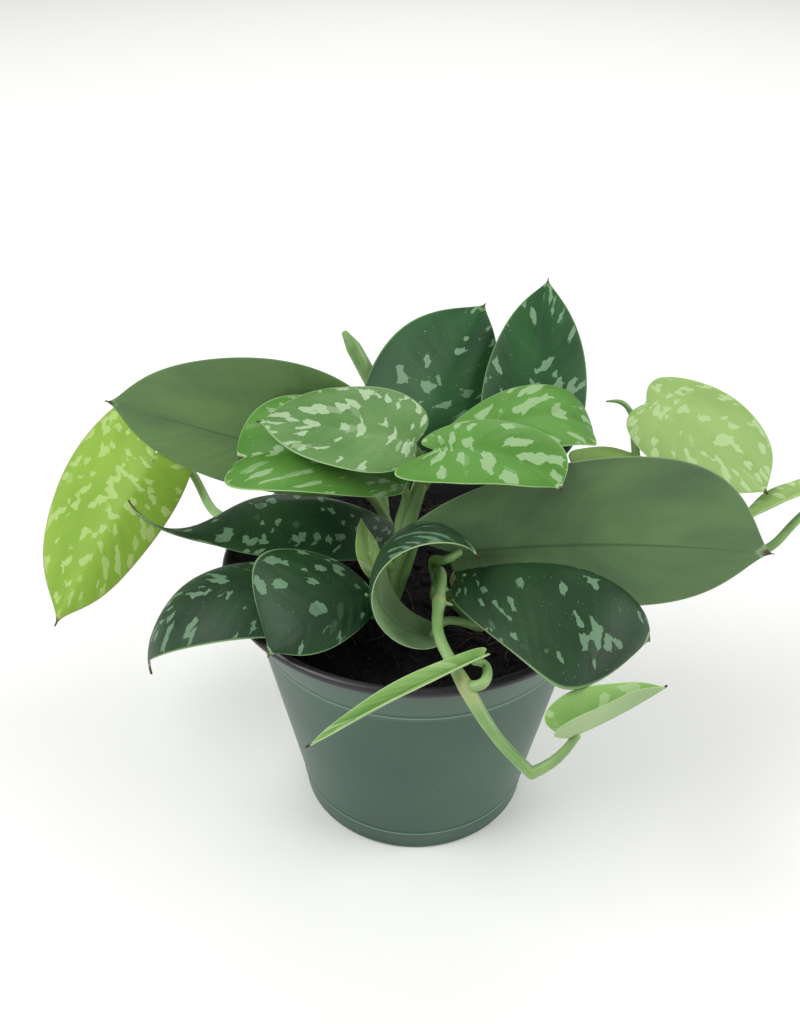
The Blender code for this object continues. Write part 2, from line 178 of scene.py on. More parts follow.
def pot_profile():
    """(radius, height, layer) from the middle of the underside, up the outside, over the lip and down
    the inside; layer is 0 for green and 1 for black"""
    lip = POT_HEIGHT - LIP_HEIGHT
    wall_heights = (0, RING_LINES[0], RING_LINES[1], lip)
    outside = [0.6, 1.2]
    for line in RING_LINES:
        outside += [line - RING_LINE_HEIGHT, line - 0.2, line + 0.2, line + RING_LINE_HEIGHT]
    outside = sorted(outside + list(np.linspace(9, 66, 24)) + list(np.linspace(70, lip, 8)))
    points = [(0, 0.6, 0), (32, 0.6, 0), (33, 0, 0), (34.6, 0, 0), (35.3, 0.25, 0)]
    for height in outside:
        proud = RING_LINE_PROUD * any(abs(height - line) < 0.3 for line in RING_LINES)
        points.append((np.interp(height, wall_heights, WALL_RADII) + proud, height, 0))
    angle = np.linspace(-0.55 * pi, pi, 15)
    bead = LIP_HEIGHT / 2
    middle = POT_HEIGHT - bead
    points += [(RIM_RADIUS - bead + bead * cos(a), middle + bead * sin(a), 1) for a in angle]
    for height in np.linspace(lip - 0.5, FLOOR, 20):
        points.append((np.interp(height, wall_heights, WALL_RADII) - WALL, height, 1))
    points.append((0, FLOOR, 1))
    return np.array(points, float)


def pot_shell():
    """profile turned about Z: (r, z) at each angle becomes (r cos, r sin, z)"""
    profile = pot_profile()
    angle = np.linspace(0, 2 * pi, POT_STEPS, endpoint=False)
    radius, height = profile[:, :1], profile[:, 1:2]
    grid = np.stack([radius * np.cos(angle), radius * np.sin(angle), height + 0 * angle], -1)
    faces = sheet_faces(len(profile), POT_STEPS, wrap=True)
    layer = profile[faces[:, 0] // POT_STEPS, 2]
    return solid("pot_shell", grid.reshape(-1, 3), faces, [pot_green(), pot_black()], layer)


pot = pot_shell()
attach(pot, "root")
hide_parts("pot")


# The soil is peat potting mix, dark and moist, filled to a finger's width under the rim. It is a
# lumpy surface with crumbs of bark and loose root fibres lying on it.
SOIL_TOP = 76.0
SOIL_RADIUS = 50.0
SOIL_RINGS = 100
SOIL_STEPS = 220
CRUMB_COUNT = 420
CRUMB_FIELD = 47
FIBRE_COUNT = 110
FIBRE_FIELD = 44
dice = np.random.default_rng(7)
LATTICE = dice.random((64, 64))


def lumps(x, y, cell):
    """smooth random height from 0 to 1: lattice values spaced by cell, blended between"""
    n = len(LATTICE)
    u, v = x / cell + 31.3, y / cell + 17.7
    i, j = np.floor(u).astype(int), np.floor(v).astype(int)
    a, b = u - i, v - j
    a, b = a * a * (3 - 2 * a), b * b * (3 - 2 * b)
    low = LATTICE[i % n, j % n] * (1 - a) + LATTICE[(i + 1) % n, j % n] * a
    high = LATTICE[i % n, (j + 1) % n] * (1 - a) + LATTICE[(i + 1) % n, (j + 1) % n] * a
    return low * (1 - b) + high * b


def soil_height(x, y):
    """height of the soil's surface: three sizes of lump on a plane"""
    waves = 1.6 * lumps(x, y, 14) + 1.5 * lumps(x, y, 4.3) + 0.8 * lumps(x, y, 1.7)
    return SOIL_TOP - 1.9 + waves


def soil_brown():
    """moist peat: nearly black, rough, with a little brown in it"""
    made, tree, shader = fresh_material("moist peat")
    place = add(tree, "ShaderNodeTexCoord", gives="Object")
    crumb = add(tree, "ShaderNodeTexNoise", Vector=place, Scale=700.0, Detail=5.0, Roughness=0.7)
    brown = add(tree, "ShaderNodeValToRGB", Fac=crumb,
                stops=[(0.35, linear("#0d0c0f")), (0.58, linear("#211c1f")), (0.78, linear("#3d312a"))])
    tree.links.new(brown, shader.inputs["Base Color"])
    shader.inputs["Roughness"].default_value = 0.9
    shader.inputs["Specular IOR Level"].default_value = 0.2
    grain = add(tree, "ShaderNodeBump", Height=crumb, Strength=0.9, Distance=0.001)
    tree.links.new(grain, shader.inputs["Normal"])
    return made


def plain_finish(name, code, roughness):
    """one even colour"""
    made, _, shader = fresh_material(name)
    shader.inputs["Base Color"].default_value = linear(code)
    shader.inputs["Roughness"].default_value = roughness
    return made


def soil_bed():
    """disc of rings from the middle to the wall, raised by soil_height, closed by a plug underneath"""
    angle = np.linspace(0, 2 * pi, SOIL_STEPS, endpoint=False)
    radius = np.linspace(0, 1, SOIL_RINGS)[:, None] ** 0.8 * SOIL_RADIUS
    x, y = radius * np.cos(angle), radius * np.sin(angle)
    top = np.stack([x, y, soil_height(x, y)], -1)
    ring = np.stack([np.cos(angle), np.sin(angle), 0 * angle], -1)
    plug = ((SOIL_RADIUS, 73.0), (46.0, 66.0), (35.0, 6.0), (34.0, 2.4), (0, 2.4))
    under = [ring * reach + (0, 0, height) for reach, height in plug]
    points = np.concatenate([top, np.array(under)])
    faces = sheet_faces(len(points), SOIL_STEPS, wrap=True)
    return solid("soil_bed", points.reshape(-1, 3), faces, [soil_brown()])


def soil_crumbs():
    """each crumb is three uneven rings, closed at both ends and half sunk in the surface"""
    rings, sides = 3, 6
    spot = dice.random((CRUMB_COUNT, 2))
    radius, turn = CRUMB_FIELD * np.sqrt(spot[:, 0]), 2 * pi * spot[:, 1]
    x, y = radius * np.cos(turn), radius * np.sin(turn)
    size = 0.5 + 1.3 * dice.random(CRUMB_COUNT) ** 3
    angle = np.linspace(0, 2 * pi, sides, endpoint=False)
    wobble = 0.6 + 0.8 * dice.random((CRUMB_COUNT, rings, sides))
    reach = np.array([0.75, 1.0, 0.7])[:, None] * wobble * size[:, None, None]
    level = np.array([-0.45, 0.05, 0.5])[:, None] * size[:, None, None] + 0 * wobble
    ring = np.stack([reach * np.cos(angle) + x[:, None, None], reach * np.sin(angle) + y[:, None, None],
                     level + soil_height(x, y)[:, None, None] + 0.1], -1)
    base = np.arange(CRUMB_COUNT)[:, None, None] * rings * sides
    faces = sheet_faces(rings, sides, wrap=True) + base
    obj = solid("soil_crumbs", ring.reshape(-1, 3), faces.reshape(-1, 4), [soil_brown()])
    close_ends(obj)
    return obj


def close_ends(obj):
    """fills the open ends of tubes and crumbs, and turns the faces outwards"""
    bm = bmesh.new()
    bm.from_mesh(obj.data)
    bmesh.ops.holes_fill(bm, edges=[e for e in bm.edges if e.is_boundary], sides=0)
    bmesh.ops.recalc_face_normals(bm, faces=bm.faces)
    bm.to_mesh(obj.data)
    bm.free()
    obj.data.shade_smooth()


def soil_fibres():
    """each fibre is a thin five-sided tube along a shallow arc that lies on the surface"""
    rings, sides = 9, 5
    along = np.linspace(-0.5, 0.5, rings)
    spot = dice.random((FIBRE_COUNT, 4))
    radius, turn, way = FIBRE_FIELD * np.sqrt(spot[:, 0]), 2 * pi * spot[:, 1], 2 * pi * spot[:, 2]
    length = (4 + 10 * spot[:, 3])[:, None]
    bow = (dice.random(FIBRE_COUNT)[:, None] - 0.5) * 0.8 * length
    ahead = along * length
    aside = bow * (0.25 - along ** 2) * 2
    x = (radius * np.cos(turn))[:, None] + ahead * np.cos(way)[:, None] - aside * np.sin(way)[:, None]
    y = (radius * np.sin(turn))[:, None] + ahead * np.sin(way)[:, None] + aside * np.cos(way)[:, None]
    thick = 0.1 + 0.14 * dice.random(FIBRE_COUNT)[:, None, None]
    angle = np.linspace(0, 2 * pi, sides, endpoint=False)
    lift = soil_height(x, y) + 0.25 + 1.2 * dice.random(FIBRE_COUNT)[:, None] * (0.5 + along)
    out = thick * np.cos(angle)
    ring = np.stack([x[..., None] - out * np.sin(way)[:, None, None],
                     y[..., None] + out * np.cos(way)[:, None, None],
                     lift[..., None] + thick * np.sin(angle)], -1)
    base = np.arange(FIBRE_COUNT)[:, None, None] * rings * sides
    faces = sheet_faces(rings, sides, wrap=True) + base
    obj = solid("soil_fibres", ring.reshape(-1, 3), faces.reshape(-1, 4),
                [plain_finish("dry root fibre", "#3c2f26", 0.8)])
    close_ends(obj)
    return obj


soil = soil_bed()
for piece in (soil, soil_crumbs(), soil_fibres()):
    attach(piece, "root")
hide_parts("soil")


# The blades grow one from each node of the vines. A satin pothos blade is heart shaped, thick and
# leathery, with a pale margin, a tail-like brown tip, and silver patches where air lies under the
# skin in strips between the veins; its underside is matt and grey green.
FULLNESS = 0.85
LOBE_FADE = 1.5
TIP_SHARPNESS = 14
CROWDING = 1.4
RIB_STEPS = 60
BLADE_ROWS = 84
BLADE_COLUMNS = 14
BLADE_HALF = 0.34
# Relief of a blade: the groove over its midrib, the quilting between its veins, its wavy margin
GROOVE_DEPTH = 0.35
GROOVE_WIDTH = 1.1
QUILT_HEIGHT = 0.07
VEIN_SPACING = 3.2
WAVE_HEIGHT = 0.3
# The dry brown tail: the share of the midrib's length where it starts, and the run it fades in over
TAIL_START = 0.955
TAIL_RUN = 0.03


@dataclass
class Leaf:
    """A blade, given the way a leaf is measured.

    base is the sinus, where the petiole joins. heading is the compass direction of the midrib there, 0
    along +X and 90 along +Y; pitch is its rise above the horizon; roll tips the upper face to the
    leaf's own right. half holds the widths left and right of the midrib. bend, swing and twist are the
    turns that the midrib makes from base to tip: up towards the upper face, sideways to the left, and
    round itself. late above 1 keeps bend and twist for the end. fold lifts each half at the midrib,
    curl rolls it towards its margin, lobe lengthens it behind the sinus, lean moves its widest place
    towards the base, and blunt rounds it near the tip. drip is the length of the pointed tip, or with
    a minus sign the depth of a notch there. look names its colours.
    """
    name: str
    base: tuple
    heading: float
    pitch: float
    roll: float
    length: float
    half: tuple
    look: str
    bend: float = 0
    late: float = 1
    swing: float = 0
    twist: float = 0
    fold: tuple = (0, 0)
    curl: tuple = (-15, -15)
    lobe: tuple = (0.6, 0.6)
    lean: tuple = (0.15, 0.15)
    blunt: tuple = (3, 3)
    drip: float = 0.06


LEAVES = [
    Leaf("leaf_top_left", (-1, -7, 129), 170, 10, -16, 45, (14, 18), "grey", bend=-20, fold=(5, 5),
         lobe=(0.2, 0.3), blunt=(2, 2)),
    Leaf("leaf_second_left", (-3, -7, 115), 176, 22, -20, 50, (15, 20), "fresh", bend=-60, late=2,
         fold=(15, 15), lobe=(0, 0.1), lean=(-0.3, -0.3), blunt=(6, 6), drip=-0.09),
    Leaf("leaf_top_right", (4, -14, 131), 8, 5, 14, 36, (13, 12), "fresh", bend=-18, late=2, swing=-60,
         fold=(5, 5), lobe=(0.6, 1.7), lean=(-0.4, 0.1)),
    Leaf("leaf_second_right", (10, 4, 123), 20, 15, 12, 48, (13.5, 13), "fresh", bend=-95, late=3,
         swing=-20, fold=(8, 8), lean=(-0.5, -0.2), blunt=(6, 5)),
    Leaf("leaf_back_tall_left", (0, 16, 109), 66, 52, 0, 53, (25, 15), "tall", bend=-20, swing=-10,
         fold=(0, -25), curl=(-10, -25), lean=(0, 0)),
    Leaf("leaf_back_tall_right", (31, 14, 113), 78, 52, 5, 55, (15, 16), "tall", bend=-15, fold=(5, -5),
         lobe=(0.3, 0.3), blunt=(1.8, 1.8)),
    Leaf("leaf_back_left", (-22, 19, 105), 171, 12, 88, 74, (33, 16), "back", lean=(0.35, -0.1)),
    Leaf("leaf_far_left", (-80, 28, 103.5), 225, -41, -5, 61, (14, 34), "lime", bend=-10, fold=(-35, 0),
         lobe=(0.9, 1.2), drip=0.09),
    Leaf("leaf_left_curled", (-7, -2, 92), 182, 1, -8, 79, (6, 27), "dark", bend=65, late=5, twist=100,
         lobe=(0.2, 0.2), lean=(0.2, -0.4), blunt=(3, 5), drip=0.33),
    Leaf("leaf_lower_left", (-24.5, -22.5, 90), 184, 22, -6, 71, (17, 13), "dark", bend=-120, late=1.4,
         swing=12, fold=(-5, -5), curl=(-20, -20), drip=0.12),
    Leaf("leaf_front_left", (-12.2, -30.5, 96.4), 222, 18, -25, 35, (9, 26), "dark", bend=-75,
         late=1.2, swing=8, fold=(-5, -5), lobe=(0, 0.1), lean=(-0.1, -0.3), blunt=(3, 4), drip=0.12),
    Leaf("leaf_big_right", (8.6, -19, 101.7), 0, 8, -100, 87, (18, 25.5), "shade", swing=14, fold=(0, 8),
         lobe=(0.1, 0.7), lean=(-0.1, -0.35)),
    Leaf("leaf_right_dark", (9.8, -29, 101), -8, 21, 12, 61, (11, 31), "dark", bend=-105, late=2.6,
         swing=-34, fold=(-10, 0), curl=(-110, -12), lobe=(0.2, 0.2), lean=(0.2, -0.4), blunt=(4, 6)),
    Leaf("leaf_right_light", (69, 35, 118.5), -25, -16, 15, 45, (25, 18), "heart", bend=-15, swing=-15,
         lobe=(0.35, 0.45), lean=(-0.1, 0.15)),
    Leaf("leaf_behind_lime", (45, 16, 109), 0, 5, 0, 28, (11, 11), "plain", bend=-20, lobe=(0.2, 0.2)),
    Leaf("leaf_far_right", (118, 19, 99), 205, -12, 20, 25, (6, 6), "heart", fold=(30, 30)),
    Leaf("leaf_front_narrow", (15, -57, 98.5), 205, -8, -5, 48, (3.6, 3.2), "folded", bend=-8, swing=4,
         fold=(42, 38), curl=(10, 10), lobe=(0.3, 0.3)),
    Leaf("leaf_front_small", (35, -73.5, 87.8), 20, 12, 0, 27, (9.5, 8), "folded", bend=14, fold=(40, 85),
         lobe=(0.8, 0.8), lean=(0.4, 0.15)),
    Leaf("leaf_rolled", (6, -39, 89), 180, -15, 200, 66, (15, 15), "rolled", bend=-255, lobe=(0.1, 0.1)),
    Leaf("leaf_young", (-11, -18.5, 92), 129, 49, 0, 19, (4.5, 3.5), "heart", bend=-20, swing=-30,
         fold=(20, 20), lobe=(0, 0), lean=(0.3, 0.3), blunt=(1.5, 1.5)),
]


def unit(v):
    """v, or each row of v, brought to length one"""
    return v / np.linalg.norm(v, axis=-1, keepdims=True)


def turned(v, axis, angle):
    """v turned about a unit axis"""
    return v * cos(angle) + np.cross(axis, v) * sin(angle) + axis * (axis @ v) * (1 - cos(angle))


def rib(leaf):
    """places, tangents and upper normals along the midrib"""
    h, p, r = radians(leaf.heading), radians(leaf.pitch), radians(leaf.roll)
    along = np.array([cos(p) * cos(h), cos(p) * sin(h), sin(p)])
    upright = np.array([-sin(p) * cos(h), -sin(p) * sin(h), cos(p)])
    normal = turned(upright, along, r)
    place = np.array(leaf.base, float)
    places, tangents, normals = [place], [along], [normal]
    step = leaf.length / RIB_STEPS
    for share in np.diff(np.linspace(0, 1, RIB_STEPS + 1) ** leaf.late):
        side = np.cross(along, normal)
        ahead = turned(along, side, radians(leaf.bend) * share)
        normal = turned(normal, side, radians(leaf.bend) * share)
        ahead = turned(ahead, normal, radians(leaf.swing) / RIB_STEPS)
        normal = turned(normal, ahead, radians(leaf.twist) * share)
        place = place + (along + ahead) / 2 * step
        along = unit(ahead)
        normal = unit(normal - along * (along @ normal))
        places.append(place)
        tangents.append(along)
        normals.append(normal)
    return np.array(places), np.array(tangents), np.array(normals)


def outline(phi, lobe, lean, blunt, drip):
    """half of a heart-shaped margin: along the midrib and across it, from sinus (0) to tip (pi)"""
    x = (1 - np.cos(phi)) / 2 * (1 - drip) + drip * (phi / pi) ** TIP_SHARPNESS
    x = x - lobe * np.sin(phi) * np.exp(-LOBE_FADE * phi)
    y = np.abs(np.sin(phi)) ** FULLNESS * (1 + lean * np.cos(phi))
    return x, y * (1 - np.exp(-blunt * (pi - phi)))


def blade_sheet(leaf):
    """middle surface of a blade. Rows run from sinus to tip and follow the veins; columns run from the
    left margin to the right one. Each half is swept off the midrib on an arc. Also gives the distance
    across the veins and along them in millimetres, and how far each point is to the margin, 0 to 1."""
    places, tangents, normals = rib(leaf)
    steps = np.linspace(0, 1, RIB_STEPS + 1)
    phi = np.linspace(0, pi, BLADE_ROWS + 1)
    # Rows lie a little closer together at both ends
    phi = phi - 0.06 * np.sin(2 * phi)
    fine = np.linspace(0, pi, 400)
    out = np.sin(np.linspace(0, pi / 2, BLADE_COLUMNS + 1))
    halves, reaches = [], []
    for k, side in enumerate((-1, 1)):
        shape = (leaf.lobe[k], leaf.lean[k], leaf.blunt[k], leaf.drip)
        x, y = outline(phi, *shape)
        y = y / outline(fine, *shape)[1].max()
        middle = (phi / pi) ** 2
        x = middle[:, None] + (x - middle)[:, None] * out ** CROWDING
        y = y[:, None] * out
        inside = np.clip(x, 0, 1)
        at = [np.stack([np.interp(inside, steps, rows[:, j]) for j in range(3)], -1)
              for rows in (places, tangents, normals)]
        along, up = unit(at[1]), unit(at[2])
        spine = at[0] + along * ((x - inside) * leaf.length)[..., None]
        fold, curl = radians(leaf.fold[k]), radians(leaf.curl[k])
        across = leaf.half[k] * (np.sin(fold + curl * y) - sin(fold)) / curl
        lift = leaf.half[k] * (cos(fold) - np.cos(fold + curl * y)) / curl
        full = np.sin(phi)[:, None]
        groove = -GROOVE_DEPTH * np.exp(-(across / GROOVE_WIDTH) ** 2) * full ** 0.5
        vein = phi[:, None] / pi * leaf.length / VEIN_SPACING * 2 * pi
        quilt = QUILT_HEIGHT * np.cos(vein + 2 * k) * np.sin(pi * out) * full
        wave = WAVE_HEIGHT * np.sin(5 * phi[:, None] + 2.1 * k + leaf.heading) * out ** 3 * full
        rise = (lift + groove + quilt + wave)[..., None]
        halves.append(spine + np.cross(along, up) * (side * across)[..., None] + up * rise)
        reaches.append(np.stack([phi[:, None] / pi * leaf.length + 0 * out,
                                 side * leaf.half[k] * out * full ** 0.5,
                                 0 * phi[:, None] + out], -1))
    sheet = np.concatenate([halves[0][:, ::-1], halves[1][:, 1:]], 1)
    reach = np.concatenate([reaches[0][:, ::-1], reaches[1][:, 1:]], 1)
    return sheet, reach, normals


def blade_solid(leaf, number):
    """the sheet offset both ways along its normals by a thickness that runs out at the margin; past
    the margin's 1, the third part of the kept vector runs up to 3 on the dry brown tail"""
    sheet, reach, rib_normals = blade_sheet(leaf)
    normals = np.empty_like(sheet)
    normals[1:-1] = unit(np.cross(np.gradient(sheet, axis=1), np.gradient(sheet, axis=0))[1:-1])
    normals[0], normals[-1] = rib_normals[0], rib_normals[-1]
    thick = BLADE_HALF * np.sqrt(1 - reach[..., 2:] ** 6 * 0.999)
    rows, columns = sheet.shape[:2]
    points = np.concatenate([sheet + normals * thick, sheet - normals * thick]).reshape(-1, 3)
    upper = sheet_faces(rows, columns)
    edges = []
    for j in (0, columns - 1):
        i = np.arange(rows - 1) * columns + j
        edges.append(np.stack([i, i + columns, i + columns + rows * columns, i + rows * columns], -1))
    rims = np.concatenate(edges)
    faces = np.concatenate([upper, upper + rows * columns, rims])
    which = np.repeat([0, 1, 0], [len(upper), len(upper), len(rims)])
    # Each blade takes a stretch of the pattern of its own
    grain = reach + np.array([number * 173.0, number * 91.0, 0])
    grain[..., 2] += 2 * np.clip((reach[..., 0] / leaf.length - TAIL_START) / TAIL_RUN, 0, 1)
    kept = np.concatenate([grain, grain]).reshape(-1, 3)
    hue = LOOKS[leaf.look]
    skins = [upper_skin(leaf.look, hue), under_skin(leaf.look, hue)]
    return solid(leaf.name + "_blade", points, faces, skins, which, kept)


@dataclass
class Look:
    """colours of a blade: its deep and fresh green, the silver, the margin, and the underside in shade
    and in light; share is how much of it is silver, from 0 to 1, and tail is the colour of its tip"""
    deep: str
    fresh: str
    silver: str
    margin: str
    shade: str
    under: str
    share: float
    tail: str = "#4a3a28"


LOOKS = {
    "dark": Look("#1a361d", "#254627", "#688a6b", "#7f9f6e", "#435f42", "#5d7c52", 0.3),
    "tall": Look("#204727", "#2b5a2d", "#759776", "#5f8c52", "#435f42", "#5d7c52", 0.3),
    "rolled": Look("#1d3a20", "#28492b", "#5f8264", "#9fbc88", "#5c7a50", "#86a373", 0.3),
    "grey": Look("#527b3f", "#648a4f", "#a4bd96", "#93b57c", "#5d7f4c", "#7d9c62", 0.36),
    "fresh": Look("#4c7f2e", "#5b8f3c", "#92b380", "#98bc7e", "#5d7f4c", "#7d9c62", 0.36),
    "lime": Look("#7da534", "#8ab03d", "#a9c672", "#a8a872", "#7f9f4b", "#8fb356", 0.4),
    "heart": Look("#88aa5e", "#94b569", "#adc78c", "#a8c888", "#7f9f58", "#93b070", 0.38),
    "plain": Look("#729a3b", "#80a748", "#8fb75a", "#95b767", "#7f9f4b", "#8fb356", 0),
    "folded": Look("#729c50", "#8bb165", "#a0be84", "#b2cd96", "#8ba872", "#a2ba86", 0.3),
    "back": Look("#2c5630", "#3a6a3c", "#86a98b", "#6d8f58", "#557548", "#668b4c", 0.36),
    "shade": Look("#2b452a", "#34523a", "#86a98b", "#7d9870", "#4a6542", "#5f804e", 0.36),
}


def silver_patches(tree, grain, share):
    """Strips of skin about 1.5 mm wide by 3 mm long along the veins, each wholly silver or wholly
    green, as smooth noise some 7 mm across says at the strip's middle. Gives 0 to 1."""
    laid = add(tree, "ShaderNodeMapping", Vector=grain, Scale=(0.62, 0.33, 0.0))
    ragged = add(tree, "ShaderNodeTexNoise", gives="Color", Vector=laid, Scale=2.2, Detail=2.0)
    pushed = add(tree, "ShaderNodeVectorMath", {"operation": "MULTIPLY_ADD"}, i0=ragged, i1=(0.7, 0.7, 0.0),
                 i2=laid)
    strip = add(tree, "ShaderNodeTexVoronoi", gives="Position", Vector=pushed, Scale=1.0, Randomness=0.9)
    island = add(tree, "ShaderNodeTexNoise", Vector=strip, Scale=0.5, Detail=2.0, Roughness=0.65)
    edge = 0.68 - 0.3 * share
    patch = add(tree, "ShaderNodeMapRange", SOFT, Value=island, From_Min=edge, From_Max=edge + 0.012)
    speckle = add(tree, "ShaderNodeTexNoise", Vector=laid, Scale=3.3, Detail=1.0)
    fleck = add(tree, "ShaderNodeMapRange", SOFT, Value=speckle, From_Min=0.7, From_Max=0.73)
    near = add(tree, "ShaderNodeMapRange", SOFT, Value=island, From_Min=0.42, From_Max=0.5, To_Max=0.6)
    fleck = add(tree, "ShaderNodeMath", TIMES, i0=fleck, i1=near)
    return add(tree, "ShaderNodeMath", {"operation": "MAXIMUM"}, i0=patch, i1=fleck)


def upper_skin(look, hue):
    """leaf skin, waxy: satin gloss; silver patches; a pale line at the very margin"""
    name = "leathery upper skin, " + look
    if name in bpy.data.materials:
        return bpy.data.materials[name]
    made, tree, shader = fresh_material(name)
    grain = add(tree, "ShaderNodeAttribute", {"attribute_name": "grain"}, "Vector")
    out = add(tree, "ShaderNodeSeparateXYZ", gives="Z", Vector=grain)
    cloud = add(tree, "ShaderNodeTexNoise", Vector=grain, Scale=0.07, Detail=2.0)
    skin = add(tree, "ShaderNodeValToRGB", Fac=cloud,
               stops=[(0.35, linear(hue.deep)), (0.65, linear(hue.fresh))])
    laid = add(tree, "ShaderNodeMapping", Vector=grain, Scale=(1.3, 0.05, 0.0))
    veins = add(tree, "ShaderNodeTexNoise", Vector=laid, Scale=1.0, Detail=3.0)
    faint = add(tree, "ShaderNodeMapRange", SOFT, Value=veins, From_Min=0.5, From_Max=0.75, To_Max=0.22)
    skin = add(tree, "ShaderNodeMix", BLEND, 2, i0=faint, i6=skin, i7=linear(hue.fresh))
    clear = add(tree, "ShaderNodeMapRange", SOFT, Value=out, From_Min=0.985, From_Max=0.95,
                To_Max=0.9 if hue.share else 0.0)
    silver = add(tree, "ShaderNodeMath", TIMES, i0=silver_patches(tree, grain, hue.share), i1=clear)
    skin = add(tree, "ShaderNodeMix", BLEND, 2, i0=silver, i6=skin, i7=linear(hue.silver))
    rim = add(tree, "ShaderNodeMapRange", SOFT, Value=out, From_Min=0.965, From_Max=0.996)
    skin = add(tree, "ShaderNodeMix", BLEND, 2, i0=rim, i6=skin, i7=linear(hue.margin))
    tail = add(tree, "ShaderNodeMapRange", SOFT, Value=out, From_Min=1.3, From_Max=2.2)
    skin = add(tree, "ShaderNodeMix", BLEND, 2, i0=tail, i6=skin, i7=linear(hue.tail))
    tree.links.new(skin, shader.inputs["Base Color"])
    shader.inputs["Roughness"].default_value = 0.48
    shader.inputs["Specular IOR Level"].default_value = 0.3
    shader.inputs["IOR"].default_value = 1.45
    pores = add(tree, "ShaderNodeTexNoise", Vector=grain, Scale=2.6, Detail=2.0)
    height = add(tree, "ShaderNodeMath", {"operation": "MULTIPLY_ADD"}, i0=pores, i1=0.35, i2=veins)
    height = add(tree, "ShaderNodeMath", {"operation": "MULTIPLY_ADD"}, i0=silver, i1=0.28, i2=height)
    relief = add(tree, "ShaderNodeBump", Height=height, Strength=0.35, Distance=0.00025)
    tree.links.new(relief, shader.inputs["Normal"])
    return made


def under_skin(look, hue):
    """underside: matt, greyer, with faint even veins that curve off a thin midrib line"""
    name = "matt underside, " + look
    if name in bpy.data.materials:
        return bpy.data.materials[name]
    made, tree, shader = fresh_material(name)
    grain = add(tree, "ShaderNodeAttribute", {"attribute_name": "grain"}, "Vector")
    out = add(tree, "ShaderNodeSeparateXYZ", gives="Z", Vector=grain)
    cloud = add(tree, "ShaderNodeTexNoise", Vector=grain, Scale=0.05, Detail=2.0)
    skin = add(tree, "ShaderNodeValToRGB", Fac=cloud,
               stops=[(0.35, linear(hue.shade)), (0.65, linear(hue.under))])
    laid = add(tree, "ShaderNodeMapping", Vector=grain, Scale=(0.9, 0.006, 0.0))
    veins = add(tree, "ShaderNodeTexNoise", Vector=laid, Scale=1.0, Detail=1.0)
    faint = add(tree, "ShaderNodeMapRange", SOFT, Value=veins, From_Min=0.4, From_Max=0.7, To_Max=0.16)
    skin = add(tree, "ShaderNodeMix", BLEND, 2, i0=faint, i6=skin, i7=linear(hue.under))
    midrib = add(tree, "ShaderNodeMapRange", SOFT, Value=out, From_Min=0.03, From_Max=0.012, To_Max=0.5)
    skin = add(tree, "ShaderNodeMix", BLEND, 2, i0=midrib, i6=skin, i7=linear(hue.deep))
    rim = add(tree, "ShaderNodeMapRange", SOFT, Value=out, From_Min=0.982, From_Max=0.998)
    skin = add(tree, "ShaderNodeMix", BLEND, 2, i0=rim, i6=skin, i7=linear(hue.margin))
    tail = add(tree, "ShaderNodeMapRange", SOFT, Value=out, From_Min=1.3, From_Max=2.2)
    skin = add(tree, "ShaderNodeMix", BLEND, 2, i0=tail, i6=skin, i7=linear(hue.tail))
    tree.links.new(skin, shader.inputs["Base Color"])
    shader.inputs["Roughness"].default_value = 0.6
    shader.inputs["IOR"].default_value = 1.45
    relief = add(tree, "ShaderNodeBump", Height=veins, Strength=0.25, Distance=0.0003)
    tree.links.new(relief, shader.inputs["Normal"])
    return made


for number, leaf in enumerate(LEAVES):
    blade = blade_solid(leaf, number)
    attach(blade, "root")
    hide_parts(leaf.name)


# The vines and petioles are smooth round stems, solid and juicy. They are pale where they are young,
# swell at each node, and every petiole runs on into the base of its blade.
STEM_SIDES = 20
STEM_SPACING = 0.9
# The seat under a blade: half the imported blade's thickness and its clearance, the angle that a petiole
# comes in at, its straight last stretch, and how far its end lies ahead of the sinus
HALF_BLADE = 0.4
GAP = 0.35
SEAT_ANGLE = 45
SEAT_RUN = 3.0
SEAT_AHEAD = 1.5
